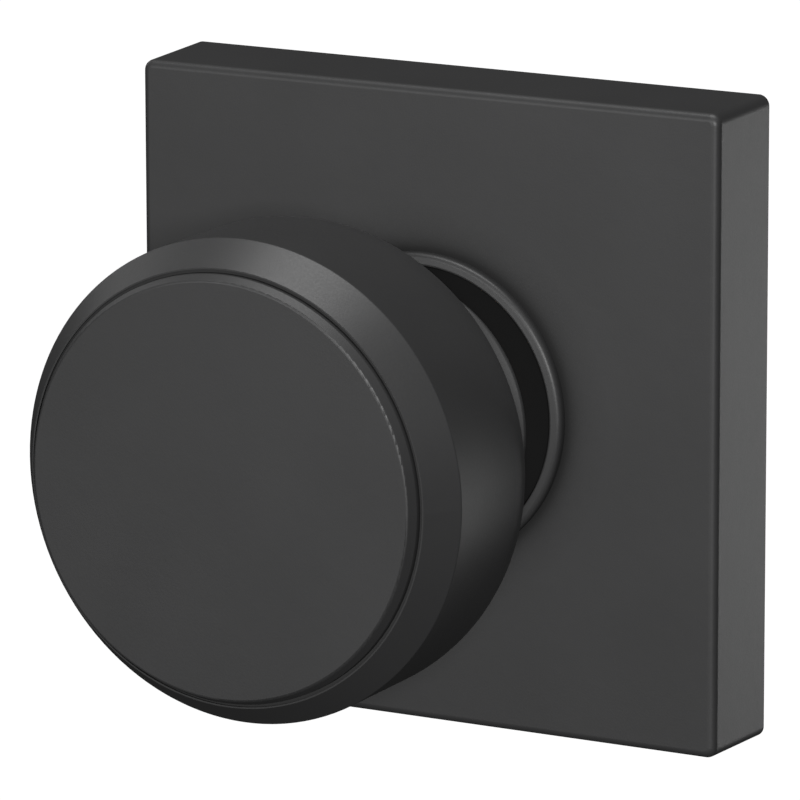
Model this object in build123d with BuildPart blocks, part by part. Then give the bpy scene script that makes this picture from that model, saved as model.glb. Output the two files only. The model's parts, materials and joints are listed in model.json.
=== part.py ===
# Door knob on a square rose, one half of a sprung knob set.  Millimetres.
# The rose lies on the door face (the XZ plane), +Z is up and the knob stands out along -Y.
# "u" is the distance out from the door face, so u = -y.
from build123d import *
import math
import os

os.makedirs("parts", exist_ok=True)

# ---- Overall sizes ----
ROSE_SIDE = 65.0            # square rose, measured on the door
ROSE_DEPTH = 10.8           # thickness of the rose
KNOB_R = 23.7               # widest radius of the knob
PROJECTION = 52.0           # door face to front of knob
SPINDLE_SIDE = 8.0          # square spindle across flats
SPINDLE_BACK = 45.0         # spindle length behind the door face
SHANK_R = 8.0               # turning shank
TURN = 60.0                 # knob travel each way, degrees

# ---- Clearances ----
RUN = 0.04                  # radial running fit of the shank
SLIP = 0.03                 # radial gap between parts that are fixed together
END_PLAY = 0.1              # axial gap where a moving part passes a fixed one
PASS_GAP = 0.3              # radial gap between the cam tab and the fixed tab
COIL_GAP = 0.5              # gap on each side of the return spring's coil
STOP_GAP = 1.5              # degrees left before a stop at full turn

# ---- Rose cover and collar ----
ROSE_DRAFT = 0.23           # each side leans in by this over the depth
ROSE_WALL = 1.8
ROSE_FRONT_FILLET = 0.8
ROSE_CORNER_FILLET = 1.1
ROSE_CAVITY_CORNER = 2.5
COLLAR_RISE = 1.2           # collar height over the rose face
COLLAR_LIP = 0.6            # how far the collar overlaps the rose face
COLLAR_WALL = 0.6
COLLAR_FALL = 0.12          # how far the crown slopes down towards its outer edge
COLLAR_ROUND = 0.55
COLLAR_INNER_ROUND = 0.2

# ---- Mounting plate and posts ----
PLATE_T = 1.6
PLATE_GAP = 0.3
PLATE_CORNER_R = 2.2
PLATE_CHAMFER = 0.3
PLATE_SLOT = (9.0, 4.0)     # length and width of the lightening slots
POST_GAP = 0.4              # between the spring housing and a post's head
POST_R = 3.75
POST_LENGTH = 16.0
POST_SPIGOT_R = 2.75
POST_HEAD_R = 3.6
POST_HEAD_T = 1.0
POST_HEAD_TAPER = 0.6
POST_BORE_R = 1.65
POST_BORE_DEPTH = 14.0
POST_CHAMFER = 0.5
POST_MOUTH_CHAMFER = 0.35

# ---- Spring housing and its screws ----
HOUSING_WALL = 1.4
HOUSING_FRONT_T = 1.5
HOUSING_CHAMFER = 0.4
HUB_WALL = 1.0
HUB_LENGTH = 4.0
EAR_T = 1.6
EAR_R = 3.5
SCREW_R = 1.5
SCREW_HEAD_R = 2.8
SCREW_HEAD_T = 1.6
SCREW_CROSS = (3.0, 0.7, 1.0)   # length, width and depth of the cross recess

# ---- Bearing bush and washers ----
BUSH_WALL = 0.86
BUSH_FLANGE = 1.5
BUSH_FLANGE_T = 0.8
BUSH_ROUND = 0.25
WASHER_T = 0.4

# ---- Drive cam, stops and retaining ring ----
CAM_T = 1.8
CAM_RIM = 1.1               # cam disc beyond the housing's hub
CAM_LUG_HALF = 12.0
TAB_T = 0.75
TAB_HALF = 7.0
FIXED_TAB_T = 0.55
STOP_SPAN = 14.5
FLAT_DEPTH = 0.8            # flats that key the shank
RING_T = 0.7
RING_WIDTH = 2.2
RING_GROOVE = 0.8
RING_GAP_HALF = 28.0
RING_EYE_R = 0.7

# ---- Return spring ----
SPRING_WIRE_R = 0.5
SPRING_TURNS = 3

# ---- Neck ring (ferrule) ----
NECK_LENGTH = 5.2
NECK_EDGE = 0.3
FLANGE_WIDTH = 4.1
FLANGE_EDGE = 0.5
FLANGE_ROUND = 0.22
FLARE_LENGTH = 2.3
FLARE_HOLLOW = 0.12         # how far the flare dips below a straight cone
WAIST_STEP = 1.8
SPIGOT_WALL = 2.2
SPIGOT_LENGTH = 1.5

# ---- Knob body ----
BEVEL_DEPTH = 3.3           # from the widest line out to the lip
BEVEL_WIDTH = 2.45
LIP_LAND = 0.15
FACE_GROOVE = 0.35          # width of the fine groove round the front face
GROOVE_DEPTH = 0.25
FACE_PROUD = 1.35           # front face stands out of the lip
FACE_T = 2.2
FACE_BEVEL_WIDTH = 0.5      # steep bevel round the front face
FACE_BEVEL_DEPTH = 1.0
FACE_ROUND = 0.28           # where the bevel meets the flat
FACE_EDGE = 0.15            # where the bevel meets the side
FACE_SPIGOT_DEPTH = 3.4
FACE_SPIGOT_WALL = 1.4
LEDGE_W = 1.75
SHELL_WALL = 2.3
RIDGE_ROUND = 0.25
SNAP_WIRE_R = 0.4
SNAP_GROOVE = 0.5
SIDE_SHARE = 0.4011         # of the body's length, from the widest line back to the shoulder
SIDE_LEAN = 0.05            # the side closes in by this over its length
SHOULDER_R = 7.6            # round between the side and the cone behind it

# ---- Knob core and its screws ----
CORE_SHARE = 0.2795         # of the body's length, from the waist to the seat of the core's flange
CORE_FLANGE_T = 2.0
CORE_WALL = 2.57
CORE_SCREW_R = 1.4
CORE_SCREW_HEAD_R = 2.2
CORE_SCREW_HEAD_T = 1.5
CORE_SCREW_DEPTH = 4.0
CORE_SCREW_SOCKET_R = 1.0
CORE_SCREW_STEP = 2.3       # core tube to the screws' circle

# ---- Shank and spindle ----
SHANK_BACK_U = 1.0
SHANK_CHAMFER = 0.4
KEY_STEP = 0.7              # waist to the start of the key flats
PIN_STEP = 3.0              # start of the flats to the pin
BORE_PLAY = 0.1
SPINDLE_PAST_PIN = 2.5
SPINDLE_CHAMFER = 0.4
SPINDLE_TIP = 0.3
PIN_R = 1.25

# ---- Release catch ----
CATCH_R = 1.5
CATCH_PLAY = 0.05
CATCH_HEAD_R = 2.0
CATCH_HEAD_T = 0.8
CATCH_HEAD_DROP = 0.3       # top of the catch's head below the shank's surface
CATCH_TIP_RISE = 1.3        # tip of the catch above the shank's surface
CATCH_FLOOR_T = 0.5
CATCH_WIRE_R = 0.1
CATCH_COILS = 2.5

# ---- Rose cover clips ----
CLIP_T = 0.5
CLIP_WIDTH = 6.0
CLIP_FOOT = 5.5
CLIP_HEIGHT = 5.4
CLIP_BELLY = 0.63           # height of the bulge, as a share of the clip's height

# ---- Radii worked outward from the shank ----
BUSH_IN = SHANK_R + RUN
BUSH_OUT = BUSH_IN + BUSH_WALL
BUSH_FLANGE_R = BUSH_OUT + BUSH_FLANGE
HUB_R = BUSH_OUT + HUB_WALL
CAM_R = HUB_R + CAM_RIM
SPRING_R = HUB_R + COIL_GAP + SPRING_WIRE_R
CAM_TAB_IN = SPRING_R + SPRING_WIRE_R + COIL_GAP + 0.1
CAM_TAB_OUT = CAM_TAB_IN + TAB_T
CAM_LUG_R = CAM_TAB_OUT + PASS_GAP / 2
STOP_IN = SPRING_R + SPRING_WIRE_R + COIL_GAP
FIXED_TAB_IN = CAM_TAB_OUT + PASS_GAP
HOUSING_BORE_R = FIXED_TAB_IN + FIXED_TAB_T
HOUSING_R = HOUSING_BORE_R + HOUSING_WALL
COLLAR_SLEEVE_R = HOUSING_R + 0.1
COLLAR_R = COLLAR_SLEEVE_R + COLLAR_LIP
COLLAR_BORE_R = COLLAR_SLEEVE_R - COLLAR_WALL
HOUSING_NOSE_R = COLLAR_BORE_R - 0.1
POST_X = HOUSING_R + POST_GAP + POST_HEAD_R
EAR_Z = HOUSING_R + EAR_R - 0.1
PLATE_HOLE_R = CAM_R + 1.0
RING_IN_R = SHANK_R - RING_GROOVE
RING_OUT_R = SHANK_R + RING_WIDTH
FLAT_X = SHANK_R - FLAT_DEPTH
NECK_R = BUSH_FLANGE_R + 0.2
FLANGE_R = NECK_R + FLANGE_WIDTH
WAIST_R = NECK_R + WAIST_STEP
SPIGOT_R = SHANK_R + SPIGOT_WALL
CORE_R = SHANK_R + CORE_WALL
CORE_SCREW_PCR = CORE_R + CORE_SCREW_STEP
LIP_R = KNOB_R - BEVEL_WIDTH
FACE_R = LIP_R - FACE_GROOVE
LEDGE_R = LIP_R - LEDGE_W
BORE_HALF = SPINDLE_SIDE / 2 + BORE_PLAY
CATCH_HEAD_TOP = SHANK_R - CATCH_HEAD_DROP
CATCH_TIP = SHANK_R + CATCH_TIP_RISE
CATCH_FLOOR = BORE_HALF + CATCH_FLOOR_T

# ---- Depths worked outward from the door ----
ROSE_INNER_U = ROSE_DEPTH - ROSE_WALL
CAVITY_SIDE = ROSE_SIDE - 2 * ROSE_WALL
PLATE_SIDE = CAVITY_SIDE - 2 * PLATE_GAP
COLLAR_TOP = ROSE_DEPTH + COLLAR_RISE
HOUSING_TOP = ROSE_INNER_U + HOUSING_FRONT_T
HUB_BACK_U = ROSE_INNER_U - HUB_LENGTH
CAM_TOP = HUB_BACK_U - END_PLAY - WASHER_T
CAM_BACK = CAM_TOP - CAM_T
SPRING_BACK = CAM_TOP + SPRING_WIRE_R + 0.3
SPRING_FRONT = ROSE_INNER_U - SPRING_WIRE_R - 0.2
LEG_ANGLE = TAB_HALF + math.degrees(math.asin(SPRING_WIRE_R / CAM_TAB_IN)) + 0.3
BUSH_TOP = HOUSING_TOP + BUSH_FLANGE_T
NECK_BACK_U = BUSH_TOP + END_PLAY + WASHER_T
FLANGE_U = NECK_BACK_U + NECK_LENGTH
CATCH_U = (NECK_BACK_U + FLANGE_U) / 2
WAIST_U = FLANGE_U + FLANGE_EDGE + FLARE_LENGTH
KEY_U = WAIST_U + KEY_STEP
PIN_U = KEY_U + PIN_STEP
SPINDLE_FRONT_U = PIN_U + SPINDLE_PAST_PIN
LIP_U = PROJECTION - FACE_PROUD
RIDGE_U = LIP_U - BEVEL_DEPTH
BODY_LENGTH = RIDGE_U - WAIST_U
SHOULDER_U = RIDGE_U - SIDE_SHARE * BODY_LENGTH
CORE_U = WAIST_U + CORE_SHARE * BODY_LENGTH
SHANK_FRONT_U = CORE_U + CORE_FLANGE_T - 0.3
SHOULDER_CENTRE_R = KNOB_R - SIDE_LEAN - SHOULDER_R
FACE_BACK = PROJECTION - FACE_T
SNAP_U = FACE_BACK - FACE_SPIGOT_DEPTH / 2


def cone_tilt():
    """Tilt in degrees of the cone that runs from the waist and meets the shoulder smoothly."""
    rise = SHOULDER_CENTRE_R - WAIST_R
    run = SHOULDER_U - WAIST_U
    return math.degrees(math.atan2(rise, run) + math.asin(SHOULDER_R / math.hypot(rise, run)))


def shoulder_point(depth, angle):
    """Point (radius, u) 'depth' inside the shoulder's skin and 'angle' degrees round from the side."""
    turn = math.radians(angle)
    reach = SHOULDER_R - depth
    return (SHOULDER_CENTRE_R + reach * math.cos(turn), SHOULDER_U - reach * math.sin(turn))


def seat_radius():
    """Radius where the hollow's cone, one wall inside the outer cone, meets the core's seat."""
    tilt = math.radians(cone_tilt())
    return WAIST_R + (CORE_U - WAIST_U) * math.tan(tilt) - SHELL_WALL / math.cos(tilt)


def ring_sector(r_in, r_out, middle, half):
    """Flat piece of a ring, centred on the angle 'middle' and reaching 'half' degrees each way."""
    with BuildSketch(mode=Mode.PRIVATE) as sector:
        with BuildLine():
            outer = CenterArc((0, 0), r_out, middle - half, 2 * half)
            inner = CenterArc((0, 0), r_in, middle - half, 2 * half)
            Line(outer @ 0, inner @ 0)
            Line(outer @ 1, inner @ 1)
        make_face()
    return sector.sketch


def ring_points(points):
    """Turn (radius, u) pairs into sketch points on the XY plane."""
    return [(r, -u) for r, u in points]


def make_rose_cover():
    draft = math.degrees(math.atan(ROSE_DRAFT / ROSE_DEPTH))
    with BuildPart() as rose_cover:
        with BuildSketch(Plane.XZ):
            Rectangle(ROSE_SIDE, ROSE_SIDE)
        extrude(amount=ROSE_DEPTH, taper=draft)
        corners = rose_cover.edges().filter_by(lambda e: abs((e % 0.5).Y) > 0.9)
        fillet(corners, ROSE_CORNER_FILLET)
        fillet(rose_cover.faces().sort_by(Axis.Y)[0].edges(), ROSE_FRONT_FILLET)
        with BuildSketch(Plane.XZ):
            RectangleRounded(CAVITY_SIDE, CAVITY_SIDE, ROSE_CAVITY_CORNER)
        extrude(amount=ROSE_INNER_U, mode=Mode.SUBTRACT)
        with BuildSketch(Plane.XZ.offset(ROSE_INNER_U)):
            Circle(COLLAR_SLEEVE_R + SLIP)
        extrude(amount=2 * ROSE_WALL, mode=Mode.SUBTRACT)
    rose_cover.part.label = "rose_cover"
    export_step(rose_cover.part, "parts/rose_cover.step")


def make_rose_collar():
    section = [(COLLAR_BORE_R, ROSE_INNER_U), (COLLAR_SLEEVE_R, ROSE_INNER_U),
               (COLLAR_SLEEVE_R, ROSE_DEPTH), (COLLAR_R, ROSE_DEPTH),
               (COLLAR_R, COLLAR_TOP - COLLAR_FALL), (COLLAR_BORE_R, COLLAR_TOP)]
    with BuildPart() as rose_collar:
        with BuildSketch(Plane.XY):
            with BuildLine():
                Polyline(ring_points(section), close=True)
            make_face()
        revolve(axis=Axis.Y)
        circles = rose_collar.edges().filter_by(GeomType.CIRCLE)
        crown = circles.filter_by_position(Axis.Y, -COLLAR_TOP - 0.01, -ROSE_DEPTH - 0.01)
        fillet(crown.sort_by(SortBy.RADIUS)[-1], COLLAR_ROUND)
        mouth = rose_collar.edges().filter_by(GeomType.CIRCLE).group_by(Axis.Y)[0].sort_by(SortBy.RADIUS)[0]
        fillet(mouth, COLLAR_INNER_ROUND)
    rose_collar.part.label = "rose_collar"
    export_step(rose_collar.part, "parts/rose_collar.step")


def make_mounting_plate():
    with BuildPart() as mounting_plate:
        with BuildSketch(Plane.XZ):
            RectangleRounded(PLATE_SIDE, PLATE_SIDE, PLATE_CORNER_R)
            Circle(PLATE_HOLE_R, mode=Mode.SUBTRACT)
            with Locations((-POST_X, 0), (POST_X, 0)):
                Circle(POST_SPIGOT_R + SLIP, mode=Mode.SUBTRACT)
            with Locations((0, -EAR_Z), (0, EAR_Z)):
                Circle(SCREW_R + SLIP, mode=Mode.SUBTRACT)
            with GridLocations(2 * POST_X, 2 * EAR_Z, 2, 2):
                SlotOverall(*PLATE_SLOT, mode=Mode.SUBTRACT)
        extrude(amount=PLATE_T)
        rim = mounting_plate.faces().sort_by(Axis.Y)[0].outer_wire().edges()
        chamfer(rim, PLATE_CHAMFER)
    mounting_plate.part.label = "mounting_plate"
    export_step(mounting_plate.part, "parts/mounting_plate.step")


def make_post(side, x):
    head_top = PLATE_T + POST_HEAD_T
    section = [(0, POST_LENGTH), (POST_R - POST_CHAMFER, POST_LENGTH),
               (POST_R, POST_LENGTH - POST_CHAMFER), (POST_R, 0), (POST_SPIGOT_R, 0),
               (POST_SPIGOT_R, -PLATE_T), (POST_HEAD_R, -PLATE_T),
               (POST_HEAD_R - POST_HEAD_TAPER, -head_top), (0, -head_top)]
    with BuildPart() as post:
        with BuildSketch(Plane.XY):
            with BuildLine():
                Polyline([(x + r, y) for r, y in section], close=True)
            make_face()
        revolve(axis=Axis((x, 0, 0), (0, 1, 0)))
        with BuildSketch(Plane.XZ.offset(-POST_LENGTH)):
            with Locations((x, 0)):
                Circle(POST_BORE_R)
        extrude(amount=POST_BORE_DEPTH, mode=Mode.SUBTRACT)
        mouth = post.faces().sort_by(Axis.Y)[-1].edges().sort_by(SortBy.RADIUS)[0]
        chamfer(mouth, POST_MOUTH_CHAMFER)
    post.part.label = "post_" + side
    export_step(post.part, "parts/post_" + side + ".step")


def make_spring_housing():
    section = [(BUSH_OUT + SLIP, HUB_BACK_U), (HUB_R, HUB_BACK_U), (HUB_R, ROSE_INNER_U),
               (HOUSING_BORE_R, ROSE_INNER_U), (HOUSING_BORE_R, PLATE_T), (HOUSING_R, PLATE_T),
               (HOUSING_R, ROSE_INNER_U), (HOUSING_NOSE_R, ROSE_INNER_U),
               (HOUSING_NOSE_R, HOUSING_TOP), (BUSH_OUT + SLIP, HOUSING_TOP)]
    stop_middle = CAM_LUG_HALF + TURN + STOP_GAP + STOP_SPAN / 2
    overlap = 0.3
    stops = [ring_sector(STOP_IN, HOUSING_BORE_R + overlap, 270 + side * stop_middle, STOP_SPAN / 2)
             for side in (-1, 1)]
    tab = ring_sector(FIXED_TAB_IN, HOUSING_BORE_R + overlap, 90, TAB_HALF)
    stop_back = PLATE_T + 0.4
    with BuildPart() as spring_housing:
        with BuildSketch(Plane.XY):
            with BuildLine():
                Polyline(ring_points(section), close=True)
            make_face()
        revolve(axis=Axis.Y)
        with BuildSketch(Plane.XZ.offset(stop_back)):
            add(stops)
        extrude(amount=ROSE_INNER_U - stop_back)
        with BuildSketch(Plane.XZ.offset(CAM_TOP + 0.2)):
            add(tab)
        extrude(amount=ROSE_INNER_U - CAM_TOP - 0.2)
        with BuildSketch(Plane.XZ.offset(PLATE_T)):
            with Locations((0, -EAR_Z), (0, EAR_Z)):
                Circle(EAR_R)
            Rectangle(2 * EAR_R, 2 * EAR_Z)
            Circle(HOUSING_BORE_R + overlap, mode=Mode.SUBTRACT)
            with Locations((0, -EAR_Z), (0, EAR_Z)):
                Circle(SCREW_R + SLIP, mode=Mode.SUBTRACT)
        extrude(amount=EAR_T)
        nose = spring_housing.faces().sort_by(Axis.Y)[0].outer_wire().edges()
        chamfer(nose, HOUSING_CHAMFER)
    spring_housing.part.label = "spring_housing"
    export_step(spring_housing.part, "parts/spring_housing.step")


def make_housing_screw(side, z):
    head_base = PLATE_T + EAR_T
    slot_length, slot_width, slot_depth = SCREW_CROSS
    section = [(0, 0.1), (SCREW_R, 0.1), (SCREW_R, head_base), (SCREW_HEAD_R, head_base),
               (SCREW_HEAD_R, head_base + 0.9), (SCREW_HEAD_R - 0.7, head_base + SCREW_HEAD_T),
               (0, head_base + SCREW_HEAD_T)]
    with BuildPart() as screw:
        with BuildSketch(Plane.XY.offset(z)):
            with BuildLine():
                Polyline(ring_points(section), close=True)
            make_face()
        revolve(axis=Axis((0, 0, z), (0, 1, 0)))
        with BuildSketch(Plane.XZ.offset(head_base + SCREW_HEAD_T)):
            with Locations((0, z)):
                Rectangle(slot_length, slot_width)
                Rectangle(slot_width, slot_length)
        extrude(amount=-slot_depth, mode=Mode.SUBTRACT)
    screw.part.label = "housing_screw_" + side
    export_step(screw.part, "parts/housing_screw_" + side + ".step")


def make_bearing_bush():
    section = [(BUSH_IN, HUB_BACK_U), (BUSH_OUT, HUB_BACK_U), (BUSH_OUT, HOUSING_TOP),
               (BUSH_FLANGE_R, HOUSING_TOP), (BUSH_FLANGE_R, BUSH_TOP), (BUSH_IN, BUSH_TOP)]
    with BuildPart() as bearing_bush:
        with BuildSketch(Plane.XY):
            with BuildLine():
                Polyline(ring_points(section), close=True)
            make_face()
        revolve(axis=Axis.Y)
        rim = bearing_bush.faces().sort_by(Axis.Y)[0].edges().sort_by(SortBy.RADIUS)[-1]
        fillet(rim, BUSH_ROUND)
    bearing_bush.part.label = "bearing_bush"
    export_step(bearing_bush.part, "parts/bearing_bush.step")


def make_return_spring():
    start = math.radians(90 + LEG_ANGLE)
    travel = 360 * SPRING_TURNS - 2 * LEG_ANGLE
    height = SPRING_FRONT - SPRING_BACK
    leg_length = HOUSING_BORE_R - SPRING_R - 0.2
    end_dir = Vector(math.cos(math.radians(travel)), math.sin(math.radians(travel)), 0)
    seat = Plane(origin=(0, -SPRING_BACK, 0), x_dir=(math.cos(start), 0, math.sin(start)), z_dir=(0, -1, 0))
    with BuildPart() as return_spring:
        with BuildLine() as coil:
            Helix(pitch=height / (travel / 360), height=height, radius=SPRING_R)
        with BuildSketch(Plane(origin=coil.line @ 0, z_dir=coil.line % 0)):
            Circle(SPRING_WIRE_R)
        sweep(path=coil.line)
        for end, direction in ((coil.line @ 0, Vector(1, 0, 0)), (coil.line @ 1, end_dir)):
            with BuildSketch(Plane(origin=end, z_dir=direction)):
                Circle(SPRING_WIRE_R)
            extrude(amount=leg_length)
            with Locations(end):
                Sphere(SPRING_WIRE_R)
    return_spring.part = return_spring.part.moved(seat.location)
    return_spring.part.label = "return_spring"
    export_step(return_spring.part, "parts/return_spring.step")


def make_cover_clip(side, angle):
    edge = PLATE_SIDE / 2
    wall = CAVITY_SIDE / 2
    top = PLATE_T + CLIP_HEIGHT
    belly = PLATE_T + CLIP_BELLY * CLIP_HEIGHT
    section = [(edge - CLIP_FOOT, PLATE_T), (edge - 0.4, PLATE_T), (wall - 0.05, belly),
               (wall - 0.75, top), (wall - 1.25, top - 0.2), (wall - 0.6, belly),
               (edge - 0.4 - CLIP_T, PLATE_T + CLIP_T), (edge - CLIP_FOOT, PLATE_T + CLIP_T)]
    across = Plane.XY.rotated((0, angle, 0))
    with BuildPart() as clip:
        with BuildSketch(across):
            with BuildLine():
                Polyline(ring_points(section), close=True)
            make_face()
        extrude(amount=CLIP_WIDTH / 2, both=True)
    clip.part.label = "cover_clip_" + side
    export_step(clip.part, "parts/cover_clip_" + side + ".step")


def make_knob_shank():
    groove_back = CAM_BACK - RING_T - 0.05
    section = [(0, SHANK_BACK_U), (SHANK_R - SHANK_CHAMFER, SHANK_BACK_U),
               (SHANK_R, SHANK_BACK_U + SHANK_CHAMFER),
               (SHANK_R, groove_back), (RING_IN_R, groove_back), (RING_IN_R, CAM_BACK),
               (SHANK_R, CAM_BACK), (SHANK_R, SHANK_FRONT_U - SHANK_CHAMFER),
               (SHANK_R - SHANK_CHAMFER, SHANK_FRONT_U), (0, SHANK_FRONT_U)]
    pocket = CATCH_HEAD_R + CATCH_PLAY
    with BuildPart() as knob_shank:
        with BuildSketch(Plane.XY):
            with BuildLine():
                Polyline(ring_points(section), close=True)
            make_face()
        revolve(axis=Axis.Y)
        with BuildSketch(Plane.XZ):
            Rectangle(2 * BORE_HALF, 2 * BORE_HALF)
        extrude(amount=SHANK_FRONT_U + 1, mode=Mode.SUBTRACT)
        for back, front in ((0, CAM_TOP), (KEY_U, SHANK_FRONT_U)):
            with BuildSketch(Plane.XZ.offset(back)):
                with Locations((-SHANK_R - FLAT_X, 0), (SHANK_R + FLAT_X, 0)):
                    Rectangle(2 * SHANK_R, 2 * SHANK_R)
            extrude(amount=front - back, mode=Mode.SUBTRACT)
        with BuildSketch(Plane.YZ):
            with Locations((-PIN_U, 0)):
                Circle(PIN_R + SLIP)
        extrude(amount=SHANK_R, both=True, mode=Mode.SUBTRACT)
        with BuildSketch(Plane.XY.offset(-CATCH_FLOOR)):
            with Locations((0, -CATCH_U)):
                Circle(pocket)
        extrude(amount=-SHANK_R, mode=Mode.SUBTRACT)
    knob_shank.part.label = "knob_shank"
    export_step(knob_shank.part, "parts/knob_shank.step")


def make_drive_cam():
    lug = ring_sector(CAM_R - 0.4, CAM_LUG_R, 270, CAM_LUG_HALF)
    arm = ring_sector(CAM_R - 0.4, CAM_TAB_OUT, 90, TAB_HALF)
    tab = ring_sector(CAM_TAB_IN, CAM_TAB_OUT, 90, TAB_HALF)
    with BuildPart() as drive_cam:
        with BuildSketch(Plane.XZ.offset(CAM_BACK)):
            Circle(CAM_R)
            add(lug)
            add(arm)
            with BuildSketch(mode=Mode.PRIVATE) as bore:
                Circle(SHANK_R + SLIP)
                Rectangle(2 * (FLAT_X + SLIP), 3 * SHANK_R, mode=Mode.INTERSECT)
            add(bore.sketch, mode=Mode.SUBTRACT)
        extrude(amount=CAM_T)
        with BuildSketch(Plane.XZ.offset(CAM_BACK)):
            add(tab)
        extrude(amount=ROSE_INNER_U - CAM_BACK - 0.4)
    drive_cam.part.label = "drive_cam"
    export_step(drive_cam.part, "parts/drive_cam.step")


def make_retaining_ring():
    gap = ring_sector(1.0, 2 * RING_OUT_R, 270, RING_GAP_HALF)
    eye_angle = RING_GAP_HALF + 12
    with BuildPart() as retaining_ring:
        with BuildSketch(Plane.XZ.offset(CAM_BACK - RING_T)):
            Circle(RING_OUT_R)
            Circle(RING_IN_R + SLIP, mode=Mode.SUBTRACT)
            add(gap, mode=Mode.SUBTRACT)
            eyes_r = (RING_OUT_R + RING_IN_R) / 2
            with PolarLocations(eyes_r, 2, 270 - eye_angle, 2 * eye_angle, endpoint=True):
                Circle(RING_EYE_R, mode=Mode.SUBTRACT)
        extrude(amount=RING_T)
    retaining_ring.part.label = "retaining_ring"
    export_step(retaining_ring.part, "parts/retaining_ring.step")


def make_washer(name, outer_r, back):
    with BuildPart() as washer:
        with BuildSketch(Plane.XZ.offset(back)):
            Circle(outer_r)
            Circle(SHANK_R + RUN, mode=Mode.SUBTRACT)
        extrude(amount=WASHER_T)
    washer.part.label = name
    export_step(washer.part, "parts/" + name + ".step")


def make_knob_ferrule():
    flange_front = FLANGE_U + FLANGE_EDGE
    flare_middle = ((FLANGE_R + WAIST_R) / 2 - FLARE_HOLLOW, (flange_front + WAIST_U) / 2 - FLARE_HOLLOW)
    hole = CATCH_R + CATCH_PLAY
    with BuildPart() as knob_ferrule:
        with BuildSketch(Plane.XY):
            with BuildLine():
                Polyline(ring_points([(WAIST_R, WAIST_U), (SPIGOT_R + SLIP, WAIST_U),
                                      (SPIGOT_R + SLIP, WAIST_U - SPIGOT_LENGTH),
                                      (SHANK_R + SLIP, WAIST_U - SPIGOT_LENGTH),
                                      (SHANK_R + SLIP, NECK_BACK_U), (NECK_R - NECK_EDGE, NECK_BACK_U),
                                      (NECK_R, NECK_BACK_U + NECK_EDGE), (NECK_R, FLANGE_U),
                                      (FLANGE_R, FLANGE_U), (FLANGE_R, flange_front)]))
                ThreePointArc(*ring_points([(FLANGE_R, flange_front), flare_middle, (WAIST_R, WAIST_U)]))
            make_face()
        revolve(axis=Axis.Y)
        rim = knob_ferrule.edges().filter_by(GeomType.CIRCLE).group_by(SortBy.RADIUS)[-1]
        fillet(rim, FLANGE_ROUND)
        with BuildSketch(Plane.XY.offset(-SHANK_R + 1)):
            with Locations((0, -CATCH_U)):
                Circle(hole)
        extrude(amount=-NECK_R, mode=Mode.SUBTRACT)
    knob_ferrule.part.label = "knob_ferrule"
    export_step(knob_ferrule.part, "parts/knob_ferrule.step")


def make_knob_core():
    flange_r = seat_radius() - 0.2
    flange_top = CORE_U + CORE_FLANGE_T
    section = [(SHANK_R + SLIP, WAIST_U - SPIGOT_LENGTH + 0.05), (SPIGOT_R, WAIST_U - SPIGOT_LENGTH + 0.05),
               (SPIGOT_R, WAIST_U), (CORE_R, WAIST_U), (CORE_R, CORE_U), (flange_r, CORE_U),
               (flange_r, flange_top - 0.5), (flange_r - 0.5, flange_top), (SHANK_R + SLIP, flange_top)]
    with BuildPart() as knob_core:
        with BuildSketch(Plane.XY):
            with BuildLine():
                Polyline(ring_points(section), close=True)
            make_face()
        revolve(axis=Axis.Y)
        with BuildSketch(Plane.XZ.offset(KEY_U)):
            with Locations((-SHANK_R - FLAT_X - SLIP, 0), (SHANK_R + FLAT_X + SLIP, 0)):
                Rectangle(2 * SHANK_R, SHANK_R, mode=Mode.ADD)
            Circle(SHANK_R + 1.0, mode=Mode.INTERSECT)
        extrude(amount=flange_top - KEY_U)
        with BuildSketch(Plane.XZ.offset(CORE_U)):
            with PolarLocations(CORE_SCREW_PCR, 3, start_angle=30):
                Circle(CORE_SCREW_R + SLIP)
        extrude(amount=CORE_FLANGE_T, mode=Mode.SUBTRACT)
    knob_core.part.label = "knob_core"
    export_step(knob_core.part, "parts/knob_core.step")


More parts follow.
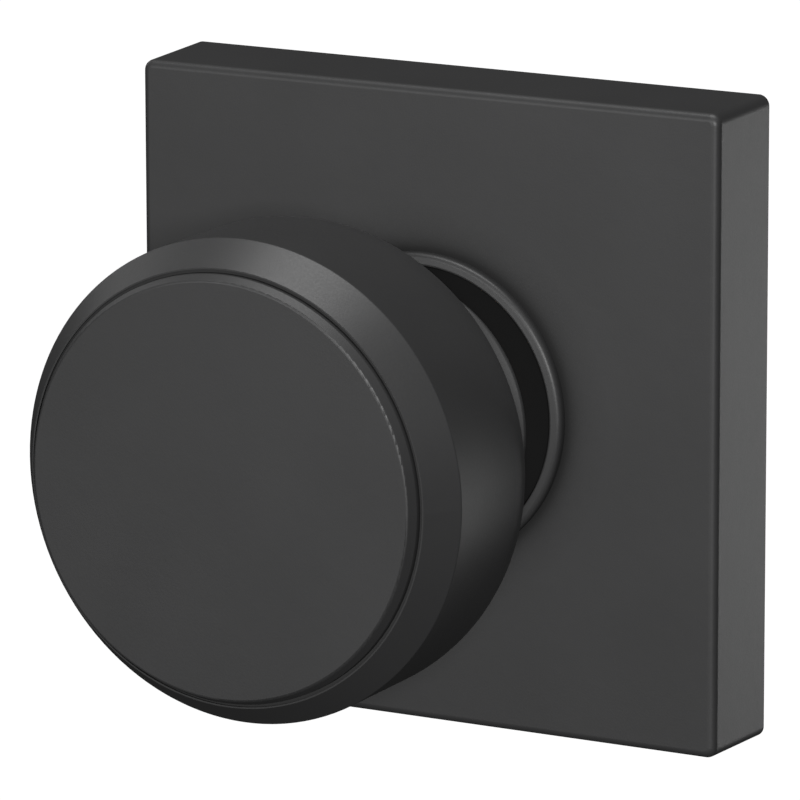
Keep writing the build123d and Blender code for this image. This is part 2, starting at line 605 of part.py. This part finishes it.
def make_knob_shell():
    tilt = cone_tilt()
    outer = [shoulder_point(0, angle) for angle in (tilt, tilt / 2, 0)]
    inner = [shoulder_point(SHELL_WALL, angle) for angle in (0, tilt / 2, tilt)]
    ledge_back = FACE_BACK - FACE_SPIGOT_DEPTH
    inside_top = (inner[0][0], ledge_back - (inner[0][0] - LEDGE_R))
    with BuildPart() as knob_shell:
        with BuildSketch(Plane.XY):
            with BuildLine():
                ThreePointArc(*ring_points(outer))
                Polyline(ring_points([outer[-1], (KNOB_R, RIDGE_U), (LIP_R + LIP_LAND, LIP_U),
                                      (LIP_R, LIP_U), (LIP_R, LIP_U - GROOVE_DEPTH),
                                      (FACE_R + SLIP, LIP_U - GROOVE_DEPTH), (FACE_R + SLIP, FACE_BACK),
                                      (LEDGE_R, FACE_BACK), (LEDGE_R, ledge_back), inside_top, inner[0]]))
                ThreePointArc(*ring_points(inner))
                Polyline(ring_points([inner[-1], (seat_radius(), CORE_U), (CORE_R + SLIP, CORE_U),
                                      (CORE_R + SLIP, WAIST_U), (WAIST_R, WAIST_U), outer[0]]))
            make_face()
        revolve(axis=Axis.Y)
        ridge = knob_shell.edges().filter_by(GeomType.CIRCLE).group_by(SortBy.RADIUS)[-1]
        fillet(ridge, RIDGE_ROUND)
        with BuildSketch(Plane.XZ.offset(SNAP_U - SNAP_WIRE_R - 0.1)):
            Circle(LEDGE_R + SNAP_GROOVE)
            Circle(LEDGE_R - 1.0, mode=Mode.SUBTRACT)
        extrude(amount=2 * SNAP_WIRE_R + 0.2, mode=Mode.SUBTRACT)
        with BuildSketch(Plane.XZ.offset(CORE_U)):
            with PolarLocations(CORE_SCREW_PCR, 3, start_angle=30):
                Circle(CORE_SCREW_R + SLIP)
        extrude(amount=-CORE_SCREW_DEPTH, mode=Mode.SUBTRACT)
    knob_shell.part.label = "knob_shell"
    export_step(knob_shell.part, "parts/knob_shell.step")


def make_core_screw(number):
    angle = math.radians(30 + 120 * number)
    x = CORE_SCREW_PCR * math.cos(angle)
    z = CORE_SCREW_PCR * math.sin(angle)
    base = CORE_U + CORE_FLANGE_T
    tip = CORE_U - CORE_SCREW_DEPTH + 0.5
    section = [(0, tip), (CORE_SCREW_R - 0.4, tip), (CORE_SCREW_R, tip + 0.6), (CORE_SCREW_R, base),
               (CORE_SCREW_HEAD_R, base), (CORE_SCREW_HEAD_R, base + 0.8),
               (CORE_SCREW_HEAD_R - 0.6, base + CORE_SCREW_HEAD_T), (0, base + CORE_SCREW_HEAD_T)]
    with BuildPart() as screw:
        with BuildSketch(Plane.XY.offset(z)):
            with BuildLine():
                Polyline([(x + r, -u) for r, u in section], close=True)
            make_face()
        revolve(axis=Axis((x, 0, z), (0, 1, 0)))
        with BuildSketch(Plane.XZ.offset(base + CORE_SCREW_HEAD_T)):
            with Locations((x, z)):
                RegularPolygon(CORE_SCREW_SOCKET_R, 6)
        extrude(amount=-0.9, mode=Mode.SUBTRACT)
    screw.part.label = "core_screw_" + str(number + 1)
    export_step(screw.part, "parts/core_screw_" + str(number + 1) + ".step")


def make_knob_face():
    spigot_r = LEDGE_R - 0.1
    spigot_back = FACE_BACK - FACE_SPIGOT_DEPTH + 0.2
    groove_r = LEDGE_R - SNAP_GROOVE
    half = SNAP_WIRE_R + 0.1
    bevel_u = PROJECTION - FACE_BEVEL_DEPTH
    section = [(0, PROJECTION), (FACE_R - FACE_BEVEL_WIDTH, PROJECTION), (FACE_R, bevel_u),
               (FACE_R, FACE_BACK), (spigot_r, FACE_BACK),
               (spigot_r, SNAP_U + half), (groove_r, SNAP_U + half), (groove_r, SNAP_U - half),
               (spigot_r, SNAP_U - half), (spigot_r, spigot_back + 0.3), (spigot_r - 0.3, spigot_back),
               (spigot_r - FACE_SPIGOT_WALL, spigot_back), (spigot_r - FACE_SPIGOT_WALL, FACE_BACK),
               (0, FACE_BACK)]
    with BuildPart() as knob_face:
        with BuildSketch(Plane.XY):
            with BuildLine():
                Polyline(ring_points(section), close=True)
            make_face()
        revolve(axis=Axis.Y)
        fillet(knob_face.faces().sort_by(Axis.Y)[0].edges(), FACE_ROUND)
        fillet(knob_face.edges().filter_by_position(Axis.Y, -bevel_u - 0.01, -bevel_u + 0.01), FACE_EDGE)
    knob_face.part.label = "knob_face"
    export_step(knob_face.part, "parts/knob_face.step")


def make_snap_ring():
    with BuildPart() as snap_ring:
        with BuildSketch(Plane.XY):
            with Locations((LEDGE_R, -SNAP_U)):
                Circle(SNAP_WIRE_R)
        revolve(axis=Axis.Y, revolution_arc=345)
    snap_ring.part.label = "snap_ring"
    export_step(snap_ring.part, "parts/snap_ring.step")


def make_spindle():
    with BuildPart() as spindle:
        with BuildSketch(Plane.XZ.offset(-SPINDLE_BACK)):
            Rectangle(SPINDLE_SIDE, SPINDLE_SIDE)
        extrude(amount=SPINDLE_BACK + SPINDLE_FRONT_U)
        chamfer(spindle.edges().filter_by(Axis.Y), SPINDLE_CHAMFER)
        chamfer(spindle.faces().sort_by(Axis.Y)[-1].edges(), SPINDLE_TIP)
        with BuildSketch(Plane.YZ):
            with Locations((-PIN_U, 0)):
                Circle(PIN_R + SLIP)
        extrude(amount=SPINDLE_SIDE, both=True, mode=Mode.SUBTRACT)
    spindle.part.label = "spindle"
    export_step(spindle.part, "parts/spindle.step")


def make_spindle_pin():
    with BuildPart() as spindle_pin:
        with BuildSketch(Plane.YZ.offset(-FLAT_X + 0.1)):
            with Locations((-PIN_U, 0)):
                Circle(PIN_R)
        extrude(amount=2 * (FLAT_X - 0.1))
        chamfer(spindle_pin.edges().filter_by(GeomType.CIRCLE), 0.25)
    spindle_pin.part.label = "spindle_pin"
    export_step(spindle_pin.part, "parts/spindle_pin.step")


def make_knob_catch():
    head_back = CATCH_HEAD_TOP - CATCH_HEAD_T
    section = [(0, head_back), (CATCH_HEAD_R, head_back), (CATCH_HEAD_R, CATCH_HEAD_TOP),
               (CATCH_R, CATCH_HEAD_TOP), (CATCH_R, CATCH_TIP - 0.3), (CATCH_R - 0.3, CATCH_TIP),
               (0, CATCH_TIP)]
    with BuildPart() as knob_catch:
        with BuildSketch(Plane.XZ.offset(CATCH_U)):
            with BuildLine():
                Polyline([(r, -z) for r, z in section], close=True)
            make_face()
        revolve(axis=Axis((0, -CATCH_U, 0), (0, 0, 1)))
    knob_catch.part.label = "knob_catch"
    export_step(knob_catch.part, "parts/knob_catch.step")


def make_catch_spring():
    bottom = CATCH_HEAD_TOP - CATCH_HEAD_T - CATCH_WIRE_R
    height = bottom - CATCH_FLOOR - CATCH_WIRE_R
    coil_plane = Plane.XY.offset(-bottom).move(Location((0, -CATCH_U, 0)))
    with BuildPart() as catch_spring:
        with BuildLine(coil_plane) as coil:
            Helix(pitch=height / CATCH_COILS, height=height, radius=CATCH_R)
        with BuildSketch(Plane(origin=coil.line @ 0, z_dir=coil.line % 0)):
            Circle(CATCH_WIRE_R)
        sweep(path=coil.line)
    catch_spring.part.label = "catch_spring"
    export_step(catch_spring.part, "parts/catch_spring.step")


make_rose_cover()
make_rose_collar()
make_mounting_plate()
make_post("right", POST_X)
make_post("left", -POST_X)
make_spring_housing()
make_housing_screw("top", EAR_Z)
make_housing_screw("bottom", -EAR_Z)
make_bearing_bush()
make_return_spring()
for clip_side, clip_angle in (("right", 0), ("top", -90), ("left", 180), ("bottom", 90)):
    make_cover_clip(clip_side, clip_angle)
make_knob_shank()
make_drive_cam()
make_retaining_ring()
make_washer("thrust_washer", BUSH_FLANGE_R, BUSH_TOP + END_PLAY)
make_washer("friction_washer", HUB_R, CAM_TOP)
make_knob_ferrule()
make_knob_core()
make_knob_shell()
for screw_number in range(3):
    make_core_screw(screw_number)
make_knob_face()
make_snap_ring()
make_spindle()
make_spindle_pin()
make_knob_catch()
make_catch_spring()
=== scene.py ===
"""Door knob on a square rose: looks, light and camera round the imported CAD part."""
import json
import math

import bpy
from mathutils import Matrix, Vector

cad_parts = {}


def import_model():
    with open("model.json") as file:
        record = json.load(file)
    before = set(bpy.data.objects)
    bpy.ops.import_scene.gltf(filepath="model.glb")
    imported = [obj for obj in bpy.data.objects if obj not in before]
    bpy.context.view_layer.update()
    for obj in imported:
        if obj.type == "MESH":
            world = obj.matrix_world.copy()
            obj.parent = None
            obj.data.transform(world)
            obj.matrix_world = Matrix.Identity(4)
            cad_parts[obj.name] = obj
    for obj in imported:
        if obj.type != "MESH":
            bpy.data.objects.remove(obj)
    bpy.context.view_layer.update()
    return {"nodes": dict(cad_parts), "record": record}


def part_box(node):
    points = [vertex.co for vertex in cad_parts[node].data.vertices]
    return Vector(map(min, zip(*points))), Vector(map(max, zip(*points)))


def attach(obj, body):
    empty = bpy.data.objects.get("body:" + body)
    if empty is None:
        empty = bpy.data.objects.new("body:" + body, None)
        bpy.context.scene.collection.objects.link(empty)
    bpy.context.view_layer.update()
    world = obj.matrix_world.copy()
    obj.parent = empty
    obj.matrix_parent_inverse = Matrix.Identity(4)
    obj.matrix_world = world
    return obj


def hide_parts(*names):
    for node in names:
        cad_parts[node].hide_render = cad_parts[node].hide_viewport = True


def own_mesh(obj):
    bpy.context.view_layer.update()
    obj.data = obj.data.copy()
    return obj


# Camera: angles in degrees, lens and sensor in millimetres, the rest in sides of the square rose
CAMERA_AZIMUTH = 28.62
CAMERA_ELEVATION = 12.93
CAMERA_ROLL = -0.134
CAMERA_DISTANCE = 11.533
CAMERA_TARGET = (-0.134, 0.0, -0.0384)
CAMERA_LENS = 332.8
CAMERA_SENSOR = 36.0
CAMERA_CLIP = (0.01, 60.0)

# Black coat: its colour and roughness, and the painted shade in its corners: how dark and how rough it
# gets there
COAT = (0.036, 0.036, 0.0365)
COAT_ROUGHNESS = 0.46
# Painted shade: the coat's colour in its corners
CORNER_SHADE_COLOUR = (0.003, 0.003, 0.003, 1)
CORNER_ROUGHNESS = 0.85

# How far out from its corners each coat gets painted shade, darker and rougher, in metres, and how
# strongly
COAT_SHADE_REACHES = {
    "black_coat": (0.0004, 2.0),
    "black_coat_rose": (0.005, 8.0),
    "black_coat_collar": (0.0006, 2.0),
    "black_coat_knob": (0.03, 1.3),
    "black_coat_neck": (0.008, 1.5),
}

# Coat detail, in metres: grain and orange peel across and deep, and the size of the cloudy tone
GRAIN_SIZE = 0.00022
GRAIN_DEPTH = 0.000012
PEEL_SIZE = 0.0016
PEEL_DEPTH = 0.00002
CLOUD_SIZE = 0.014

# Coat of the housing and bush in the dark recess behind the knob: the reach and strength of its painted
# corner shade, and a black darker than the knob's coat, painted shade for the recess
RECESS_SHADE_REACH = 0.012
RECESS_SHADE_DEPTH = 2.2
HOUSING_SHADED_BLACK = (0.012, 0.012, 0.0124)
HOUSING_ROUGHNESS = 0.65
HOUSING_GLOSS = 0.2

# Pattern stretch: none, along a drawn bar and along rolled sheet
EVEN = (1, 1, 1)
DRAWN = (1, 0.02, 1)
ROLLED = (0.05, 1, 1)

# Brushed metals: dark and light tone, roughness, stretch of the lines
BRUSHED = {
    "spring_steel": ((0.34, 0.34, 0.35), (0.46, 0.46, 0.47), 0.34, EVEN),
    "bright_steel": ((0.52, 0.52, 0.53), (0.64, 0.64, 0.65), 0.38, DRAWN),
    "bronze": ((0.50, 0.32, 0.14), (0.62, 0.42, 0.20), 0.38, DRAWN),
}

# Stage: strength of its own glow, then its half width and the floor's depth below the rose, in rose sides
STAGE_GLOW = 1.0
STAGE_REACH = 45
FLOOR_DROP = 40
STAGE_DARK = (0.74, 0.74, 0.74)
STAGE_LIGHT = (0.78, 0.78, 0.78)
WORLD_COLOUR = (0.03, 0.03, 0.03)


# ---------------------------------------------------------------- node helpers
def new_material(name):
    """A material with its Principled shader, as (material, node tree, shader)."""
    material = bpy.data.materials.new(name)
    material.use_nodes = True
    tree = material.node_tree
    return material, tree, tree.nodes["Principled BSDF"]


def object_coordinates(tree, stretch=EVEN):
    """Object coordinates, stretched, so a pattern stays on its piece when the piece moves."""
    source = tree.nodes.new("ShaderNodeTexCoord")
    mapping = tree.nodes.new("ShaderNodeMapping")
    mapping.inputs["Scale"].default_value = stretch
    tree.links.new(source.outputs["Object"], mapping.inputs["Vector"])
    return mapping.outputs["Vector"]


def noise(tree, vector, size, detail=2.0, roughness=0.5):
    """Noise whose features are about 'size' metres across."""
    node = tree.nodes.new("ShaderNodeTexNoise")
    node.inputs["Scale"].default_value = 1.0 / size
    node.inputs["Detail"].default_value = detail
    node.inputs["Roughness"].default_value = roughness
    tree.links.new(vector, node.inputs["Vector"])
    return node.outputs["Fac"]


def remap(tree, value, low, high, start=0.3, end=0.7):
    """Value from start..end onto low..high."""
    node = tree.nodes.new("ShaderNodeMapRange")
    node.inputs["From Min"].default_value = start
    node.inputs["From Max"].default_value = end
    node.inputs["To Min"].default_value = low
    node.inputs["To Max"].default_value = high
    tree.links.new(value, node.inputs["Value"])
    return node.outputs["Result"]


def colour_between(tree, value, dark, light):
    """Colour that runs from dark to light as value goes from 0.3 to 0.7."""
    node = tree.nodes.new("ShaderNodeValToRGB")
    node.color_ramp.elements[0].position = 0.3
    node.color_ramp.elements[1].position = 0.7
    node.color_ramp.elements[0].color = (*dark, 1)
    node.color_ramp.elements[1].color = (*light, 1)
    tree.links.new(value, node.inputs["Fac"])
    return node.outputs["Color"]


def ao_shade_mask(tree, reach, depth):
    """1 on open skin and lower in corners: the mask for the coat's painted shade, from ambient occlusion;
    'reach' is in metres.
    """
    corner = tree.nodes.new("ShaderNodeAmbientOcclusion")
    corner.samples = 16
    corner.inputs["Distance"].default_value = reach
    power = tree.nodes.new("ShaderNodeMath")
    power.operation = "POWER"
    power.inputs[1].default_value = depth
    tree.links.new(corner.outputs["AO"], power.inputs[0])
    return power.outputs["Value"]


def mixed(tree, share, low, high):
    """Colour or number that goes from low to high with share; high is a socket."""
    node = tree.nodes.new("ShaderNodeMix")
    node.data_type = "RGBA" if high.type == "RGBA" else "FLOAT"
    ends = [socket for socket in node.inputs if socket.enabled]
    ends[1].default_value = low
    tree.links.new(share, ends[0])
    tree.links.new(high, ends[2])
    return next(socket for socket in node.outputs if socket.enabled)


def bump(tree, height, depth, strength=1.0, under=None):
    """Bump of the given depth in metres, laid over another bump if one is given."""
    node = tree.nodes.new("ShaderNodeBump")
    node.inputs["Distance"].default_value = depth
    node.inputs["Strength"].default_value = strength
    tree.links.new(height, node.inputs["Height"])
    if under is not None:
        tree.links.new(under, node.inputs["Normal"])
    return node.outputs["Normal"]


# ---------------------------------------------------------------- materials
def black_coat(name, reach, depth, base=COAT, rough=COAT_ROUGHNESS, gloss=0.5):
    """Matte black powder coat: a fine even grain over a faint orange peel, with painted shade in corners,
    where it is darker and rougher.
    """
    material, tree, shader = new_material(name)
    at = object_coordinates(tree)
    grain = noise(tree, at, GRAIN_SIZE, detail=3.0, roughness=0.6)
    peel = noise(tree, at, PEEL_SIZE, detail=1.0)
    cloud = noise(tree, at, CLOUD_SIZE, detail=3.0)
    # Painted shade: skin is 1 in the open and lower in corners, and the coat's colour goes towards a near
    # black there
    skin = ao_shade_mask(tree, reach, depth)
    shade = colour_between(tree, cloud, [c * 0.94 for c in base], [c * 1.06 for c in base])
    tree.links.new(mixed(tree, skin, CORNER_SHADE_COLOUR, shade), shader.inputs["Base Color"])
    sheen = remap(tree, grain, rough - 0.03, rough + 0.03)
    tree.links.new(mixed(tree, skin, CORNER_ROUGHNESS, sheen), shader.inputs["Roughness"])
    soft = bump(tree, peel, PEEL_DEPTH, 0.35)
    tree.links.new(bump(tree, grain, GRAIN_DEPTH, 0.6, soft), shader.inputs["Normal"])
    shader.inputs["IOR"].default_value = 1.5
    shader.inputs["Specular IOR Level"].default_value = gloss
    return material


def brushed_metal(name, dark, light, rough, stretch):
    """Metal with fine lines drawn out along the directions that stretch keeps small."""
    material, tree, shader = new_material(name)
    drawn = object_coordinates(tree, stretch)
    lines = noise(tree, drawn, 0.00012, detail=3.0, roughness=0.6)
    bands = noise(tree, drawn, 0.0011, detail=3.0, roughness=0.55)
    stain = noise(tree, object_coordinates(tree), 0.007, detail=4.0)
    tree.links.new(colour_between(tree, stain, dark, light), shader.inputs["Base Color"])
    tree.links.new(remap(tree, bands, rough - 0.05, rough + 0.07), shader.inputs["Roughness"])
    worn = bump(tree, bands, 0.000006, 0.3)
    tree.links.new(bump(tree, lines, 0.000003, 0.35, worn), shader.inputs["Normal"])
    shader.inputs["Metallic"].default_value = 1.0
    return material


def cast_metal(name, dark, light, rough):
    """Cast metal: a grainy skin with cloudy tone."""
    material, tree, shader = new_material(name)
    at = object_coordinates(tree)
    grain = noise(tree, at, 0.0004, detail=5.0, roughness=0.7)
    cloud = noise(tree, at, 0.005, detail=4.0)
    tree.links.new(colour_between(tree, cloud, dark, light), shader.inputs["Base Color"])
    tree.links.new(remap(tree, grain, rough - 0.06, rough + 0.08), shader.inputs["Roughness"])
    tree.links.new(bump(tree, grain, 0.000012, 0.4), shader.inputs["Normal"])
    shader.inputs["Metallic"].default_value = 1.0
    return material


def plated_sheet(name, dark, light, rough):
    """Zinc-plated steel: a satin skin with a faint crystal pattern and rolled streaks."""
    material, tree, shader = new_material(name)
    at = object_coordinates(tree)
    crystal = tree.nodes.new("ShaderNodeTexVoronoi")
    crystal.inputs["Scale"].default_value = 1.0 / 0.0022
    crystal.inputs["Randomness"].default_value = 1.0
    tree.links.new(at, crystal.inputs["Vector"])
    pick = tree.nodes.new("ShaderNodeSeparateColor")
    tree.links.new(crystal.outputs["Color"], pick.inputs["Color"])
    rolled = noise(tree, object_coordinates(tree, ROLLED), 0.0006, detail=3.0)
    cloud = noise(tree, at, 0.009, detail=3.0)
    tone = tree.nodes.new("ShaderNodeMix")
    tone.inputs["Factor"].default_value = 0.22
    tree.links.new(cloud, tone.inputs["A"])
    tree.links.new(pick.outputs["Red"], tone.inputs["B"])
    shade = colour_between(tree, tone.outputs["Result"], dark, light)
    tree.links.new(shade, shader.inputs["Base Color"])
    tree.links.new(remap(tree, rolled, rough - 0.05, rough + 0.06), shader.inputs["Roughness"])
    tree.links.new(bump(tree, rolled, 0.000004, 0.3), shader.inputs["Normal"])
    shader.inputs["Metallic"].default_value = 1.0
    return material


def moulded_plastic(name, dark, light):
    """Moulded nylon: slightly cloudy, with a satin skin."""
    material, tree, shader = new_material(name)
    at = object_coordinates(tree)
    cloud = noise(tree, at, 0.003, detail=3.0)
    skin = noise(tree, at, 0.0003, detail=2.0)
    tree.links.new(colour_between(tree, cloud, dark, light), shader.inputs["Base Color"])
    tree.links.new(remap(tree, skin, 0.42, 0.52), shader.inputs["Roughness"])
    tree.links.new(bump(tree, skin, 0.000008, 0.4), shader.inputs["Normal"])
    shader.inputs["Subsurface Weight"].default_value = 0.08
    shader.inputs["Subsurface Scale"].default_value = 0.001
    return material


def make_materials():
    """The materials by name: one for each of the record's slots, and the coat's variants, which differ in
    how far their painted corner shade reaches.
    """
    made = {name: black_coat(name, reach, depth) for name, (reach, depth) in COAT_SHADE_REACHES.items()}
    # Painted shade: the housing's coat is darker than the knob's and darkens further in corners, so the
    # recess reads dark
    made["housing_black"] = black_coat("housing_black", RECESS_SHADE_REACH, RECESS_SHADE_DEPTH,
                                       HOUSING_SHADED_BLACK, HOUSING_ROUGHNESS, HOUSING_GLOSS)
    made["cast_zinc"] = cast_metal("cast_zinc", (0.42, 0.43, 0.45), (0.54, 0.55, 0.57), 0.48)
    made["plated_steel"] = plated_sheet("plated_steel", (0.52, 0.53, 0.54), (0.70, 0.71, 0.72), 0.42)
    made["nylon"] = moulded_plastic("nylon", (0.70, 0.69, 0.63), (0.80, 0.79, 0.74))
    for name, (dark, light, rough, stretch) in BRUSHED.items():
        made[name] = brushed_metal(name, dark, light, rough, stretch)
    return made


def dress_frame(frame, materials):
    """Give every CAD node the material of its slot, or its own variant of it."""
    slots = {part["node"]: part["material_slot"] for part in frame["record"]["subparts"]}
    # The coat's variants differ only in the reach and strength of their painted corner shade
    slots.update({"rose_cover": "black_coat_rose", "rose_collar": "black_coat_collar",
                  "knob_shell": "black_coat_knob", "knob_ferrule": "black_coat_neck"})
    for name, node in frame["nodes"].items():
        node.data.materials.clear()
        node.data.materials.append(materials[slots[name]])


# ---------------------------------------------------------------- copy of the catch's spring
def make_catch_coil(frame):
    """A copy of the catch's spring with its own mesh, carried by the knob in place of the spring."""
    spring = frame["nodes"]["catch_spring"]
    coil = bpy.data.objects.new("catch_coil", spring.data.copy())
    bpy.context.scene.collection.objects.link(coil)
    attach(coil, "knob")
    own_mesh(coil)
    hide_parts("catch_spring")


# ---------------------------------------------------------------- camera and stage
def view_axes():
    """Right, up and back of the camera as unit vectors."""
    azimuth = math.radians(CAMERA_AZIMUTH)
    elevation = math.radians(CAMERA_ELEVATION)
    roll = math.radians(CAMERA_ROLL)
    back = Vector((math.sin(azimuth) * math.cos(elevation),
                   -math.cos(azimuth) * math.cos(elevation), math.sin(elevation)))
    right = Vector((math.cos(azimuth), math.sin(azimuth), 0))
    up = back.cross(right)
    rolled_right = math.cos(roll) * right + math.sin(roll) * up
    rolled_up = math.cos(roll) * up - math.sin(roll) * right
    return rolled_right, rolled_up, back


def make_camera(side):
    """Camera at the photographed angle, placed in sides of the rose."""
    right, up, back = view_axes()
    place = Vector(CAMERA_TARGET) * side + back * CAMERA_DISTANCE * side
    data = bpy.data.cameras.new("camera")
    data.lens = CAMERA_LENS
    data.sensor_width = CAMERA_SENSOR
    data.clip_start, data.clip_end = CAMERA_CLIP
    camera = bpy.data.objects.new("camera", data)
    turn = Matrix((right, up, back)).transposed().to_4x4()
    camera.matrix_world = Matrix.Translation(place) @ turn
    bpy.context.scene.collection.objects.link(camera)
    bpy.context.scene.camera = camera


def stage_surface(name, corners, faces):
    """Pale stage surface that glows evenly and throws no light on the knob."""
    data = bpy.data.meshes.new(name)
    data.from_pydata(corners, [], faces)
    surface = bpy.data.objects.new(name, data)
    bpy.context.scene.collection.objects.link(surface)
    material, tree, shader = new_material(name + "_white")
    mottle = noise(tree, object_coordinates(tree), 0.3, detail=2.0)
    shade = colour_between(tree, mottle, STAGE_DARK, STAGE_LIGHT)
    tree.links.new(shade, shader.inputs["Base Color"])
    shader.inputs["Emission Color"].default_value = (1, 1, 1, 1)
    shader.inputs["Emission Strength"].default_value = STAGE_GLOW
    shader.inputs["Roughness"].default_value = 0.9
    shader.inputs["Specular IOR Level"].default_value = 0.1
    material.cycles.emission_sampling = "NONE"
    data.materials.append(material)
    surface.visible_diffuse = False
    surface.visible_glossy = False
    surface.visible_shadow = False


def make_floor(level, reach):
    """White floor, and a white box far out all round the knob."""
    corners = [(-reach, -reach), (reach, -reach), (reach, reach), (-reach, reach)]
    stage_surface("floor", [(x, y, level) for x, y in corners], [(0, 1, 2, 3)])
    ends = [(x, y, z) for z in (-reach, reach) for x, y in corners]
    sides = [(i, (i + 1) % 4, (i + 1) % 4 + 4, i + 4) for i in range(4)]
    stage_surface("backdrop", ends, sides + [(3, 2, 1, 0), (4, 5, 6, 7)])


def make_world(colour):
    """Faint even light from all round, shown without a film curve."""
    world = bpy.data.worlds.new("studio")
    world.use_nodes = True
    world.node_tree.nodes["Background"].inputs["Color"].default_value = (*colour, 1)
    bpy.context.scene.world = world
    bpy.context.scene.view_settings.view_transform = "Standard"


# ---------------------------------------------------------------- lights
def area_light(name, direction, distance, size, power):
    """A soft box, (width, height) in metres, that faces the origin from the given direction."""
    data = bpy.data.lights.new(name, "AREA")
    data.shape = "RECTANGLE"
    data.size, data.size_y = size
    data.energy = power
    lamp = bpy.data.objects.new(name, data)
    away = Vector(direction).normalized()
    lamp.location = away * distance
    lamp.visible_camera = False
    lamp.rotation_euler = away.to_track_quat("Z", "Y").to_euler()
    bpy.context.scene.collection.objects.link(lamp)
    return lamp


def make_lights():
    """Soft boxes in front, on top, on the left and behind the right edge."""
    right, _, back = view_axes()
    area_light("light_front", back + 0.03 * right, 0.8, (0.1, 0.1), 4.0)
    key = area_light("light_key", (-0.25, -0.9, 0.14), 1.2, (0.45, 0.45), 4.0)
    area_light("light_top", (0.0, -0.09, 1.0), 0.7, (0.46, 0.24), 2.9)
    area_light("light_left", (-0.85, 0.28, 0.44), 0.9, (0.4, 0.4), 0.5)
    area_light("light_edge", (0.24, 0.95, -0.21), 0.9, (0.26, 0.26), 1.12)
    # The key throws no shadow, so the knob doesn't darken the rose behind it
    key.data.use_shadow = False
    key.data.cycles.use_multiple_importance_sampling = False


def light_bare_metal(frame, materials):
    """Two soft lights behind the rose that reach the bare metal only."""
    bare = bpy.data.collections.new("bare_metal")
    coats = [material for name, material in materials.items() if "black" in name]
    for node in frame["nodes"].values():
        if node.data.materials[0] not in coats:
            bare.objects.link(node)
    lights = [area_light("light_back_left", (-0.75, 0.55, 0.35), 0.6, (0.6, 0.6), 0.8),
              area_light("light_back_right", (0.7, 0.65, -0.1), 0.6, (0.6, 0.6), 0.7)]
    for light in lights:
        light.light_linking.receiver_collection = bare


def main():
    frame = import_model()
    low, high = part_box("rose_cover")
    side = high.x - low.x
    materials = make_materials()
    dress_frame(frame, materials)
    make_catch_coil(frame)
    make_camera(side)
    make_world(WORLD_COLOUR)
    make_floor(low.z - FLOOR_DROP * side, STAGE_REACH * side)
    make_lights()
    light_bare_metal(frame, materials)


main()
